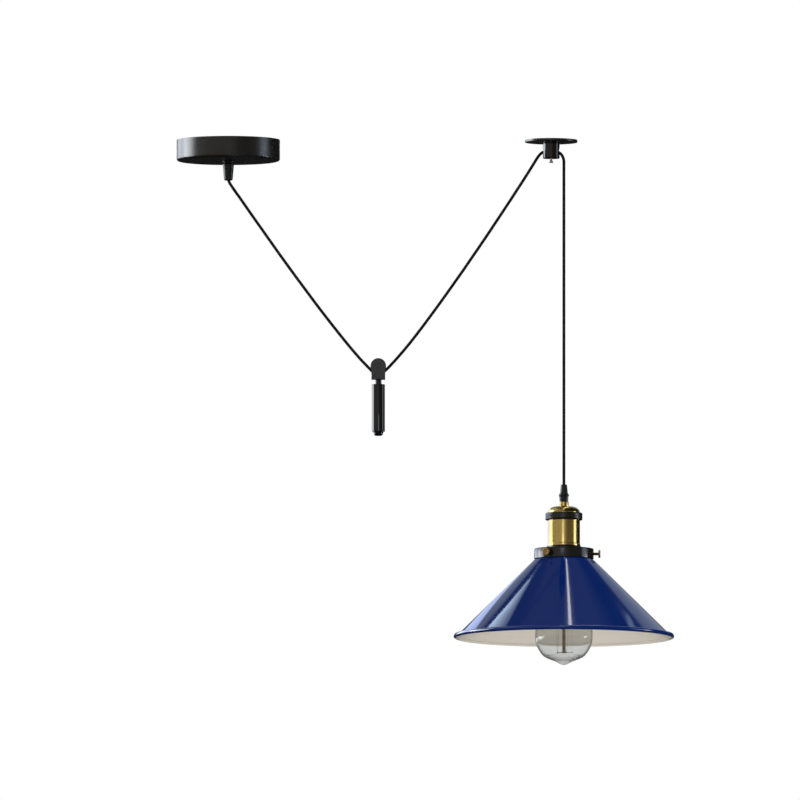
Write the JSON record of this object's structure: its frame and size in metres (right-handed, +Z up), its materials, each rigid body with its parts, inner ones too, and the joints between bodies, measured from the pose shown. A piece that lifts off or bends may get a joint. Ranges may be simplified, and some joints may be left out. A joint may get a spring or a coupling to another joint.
{
  "type": "rise and fall pendant",
  "caption": "Ceiling pendant lamp on a cord that runs under a counterweight's sheave and through a ceiling guide, with an enamelled cone shade.",
  "frame": {"origin": "centre of the rose's bracket on the ceiling", "axes": "+Z up into the ceiling, +X along the ceiling from the rose towards the guide, the cord hanging in the plane Y = 0"},
  "size_m": [0.5874, 0.2608, 0.6216],
  "materials": {
    "rose_paint": "satin black paint",
    "black_steel": "satin black paint",
    "grip_plastic": "moulded matte black",
    "zinc_steel": "zinc plated",
    "terminal_plastic": "moulded cream",
    "plain_brass": "plain brass",
    "core_live": "smooth brown insulation",
    "core_neutral": "smooth blue insulation",
    "core_earth": "smooth green and yellow insulation",
    "bush_plastic": "moulded black",
    "pad_plastic": "natural nylon",
    "cord_braid": "braided black fabric",
    "block_paint": "satin dark grey",
    "weight_gloss": "gloss black",
    "aged_brass": "aged satin brass",
    "ring_paint": "semi-gloss black",
    "gallery_paint": "gloss black",
    "socket_ceramic": "glazed white",
    "shade_enamel": "gloss cobalt blue enamel outside, white enamel inside",
    "smoky_glass": "clear, lightly smoked",
    "stem_glass": "clear",
    "bulb_insulation": "black glass-like insulator",
    "solder": "tinned",
    "bronze_rod": "dull bronze",
    "filament_wire": "dull wire"
  },
  "bodies": {
    "ceiling": {"rose_cup": "rose_paint", "guide_plate": "rose_paint", "guide_body": "black_steel", "rose_side_screws": "black_steel", "rose_cord_grip": "grip_plastic", "rose_bracket": "zinc_steel", "rose_nipple": "zinc_steel", "rose_lock_nut": "zinc_steel", "terminal_screws": "zinc_steel", "terminal_fixing_screw": "zinc_steel", "earth_screw": "zinc_steel", "guide_fixing_screw": "zinc_steel", "terminal_block": "terminal_plastic", "terminal_tubes": "plain_brass", "earth_washer": "plain_brass", "rose_live_core": "core_live", "rose_neutral_core": "core_neutral", "rose_earth_core": "core_earth", "left_cord_bush": "bush_plastic", "right_cord_bush": "bush_plastic", "clamp_pad": "pad_plastic", "cord_rose_leg": "cord_braid", "cord_guide_leg": "cord_braid", "cord_guide_arch": "cord_braid"},
    "drop_cord": {"cord_lamp_drop": "cord_braid"},
    "lamp": {"lamp_cord_grip": "grip_plastic", "grip_collar": "aged_brass", "lamp_nipple": "zinc_steel", "cap_lock_nut": "zinc_steel", "holder_cap": "aged_brass", "lock_ring": "ring_paint", "holder_body": "aged_brass", "socket_insert": "socket_ceramic", "socket_terminals": "plain_brass", "socket_terminal_screws": "zinc_steel", "screw_shell": "plain_brass", "centre_contact": "plain_brass", "lamp_live_core": "core_live", "lamp_neutral_core": "core_neutral", "lamp_earth_core": "core_earth", "gallery": "gallery_paint", "gallery_ring_nut": "gallery_paint", "shade": "shade_enamel"},
    "bulb": {"bulb_cap": "zinc_steel", "bulb_insulator": "bulb_insulation", "bulb_contact": "solder", "bulb_glass": "smoky_glass", "bulb_stem": "stem_glass", "bulb_support_rod": "bronze_rod", "bulb_filament": "filament_wire"},
    "weight": {"pulley_block": "block_paint", "sheave_axle": "block_paint", "weight_stem": "weight_gloss", "counterweight": "weight_gloss", "weight_end_nut": "weight_gloss"},
    "sheave": {"sheave": "zinc_steel"},
    "clamp_screw": {"clamp_screw": "black_steel"},
    "thumb_screw_1": {"thumb_screw_1": "aged_brass"},
    "thumb_screw_2": {"thumb_screw_2": "aged_brass"},
    "thumb_screw_3": {"thumb_screw_3": "aged_brass"}
  },
  "joints": [
    {"name": "lamp_swing", "type": "hinge", "parent": "ceiling", "child": "drop_cord", "pos_m": [0.396, 0, -0.03], "axis": [1, 0, 0], "range_deg": [-15, 15]},
    {"name": "lamp_rise", "type": "slide", "parent": "drop_cord", "child": "lamp", "axis": [0, 0, 1], "range_m": [-0.15, 0.24], "deforming": ["cord_lamp_drop"]},
    {"name": "weight_travel", "type": "slide", "parent": "ceiling", "child": "weight", "axis": [0, 0, 1], "range_m": [-0.1576, 0.1], "deforming": ["cord_rose_leg", "cord_guide_leg"]},
    {"name": "sheave_spin", "type": "hinge", "parent": "weight", "child": "sheave", "pos_m": [0.177, 0, -0.268], "axis": [0, 1, 0], "range_deg": [-470, 740]},
    {"name": "bulb_release", "type": "slide", "parent": "lamp", "child": "bulb", "axis": [0, 0, 1], "range_m": [-0.14, 0]},
    {"name": "clamp_screw_travel", "type": "slide", "parent": "ceiling", "child": "clamp_screw", "axis": [0, 0, 1], "range_m": [-0.0025, 0]},
    {"name": "thumb_screw_1_travel", "type": "slide", "parent": "lamp", "child": "thumb_screw_1", "axis": [1, 0, 0], "range_m": [0, 0.0025]},
    {"name": "thumb_screw_2_travel", "type": "slide", "parent": "lamp", "child": "thumb_screw_2", "axis": [-0.5, 0.866, 0], "range_m": [0, 0.0025]},
    {"name": "thumb_screw_3_travel", "type": "slide", "parent": "lamp", "child": "thumb_screw_3", "axis": [-0.5, -0.866, 0], "range_m": [0, 0.0025]}
  ],
  "couplings": [
    {"joint": "weight_travel", "follows": "lamp_rise", "ratio": -0.64},
    {"joint": "sheave_spin", "follows": "lamp_rise", "rad_per_m": 53.2}
  ]
}
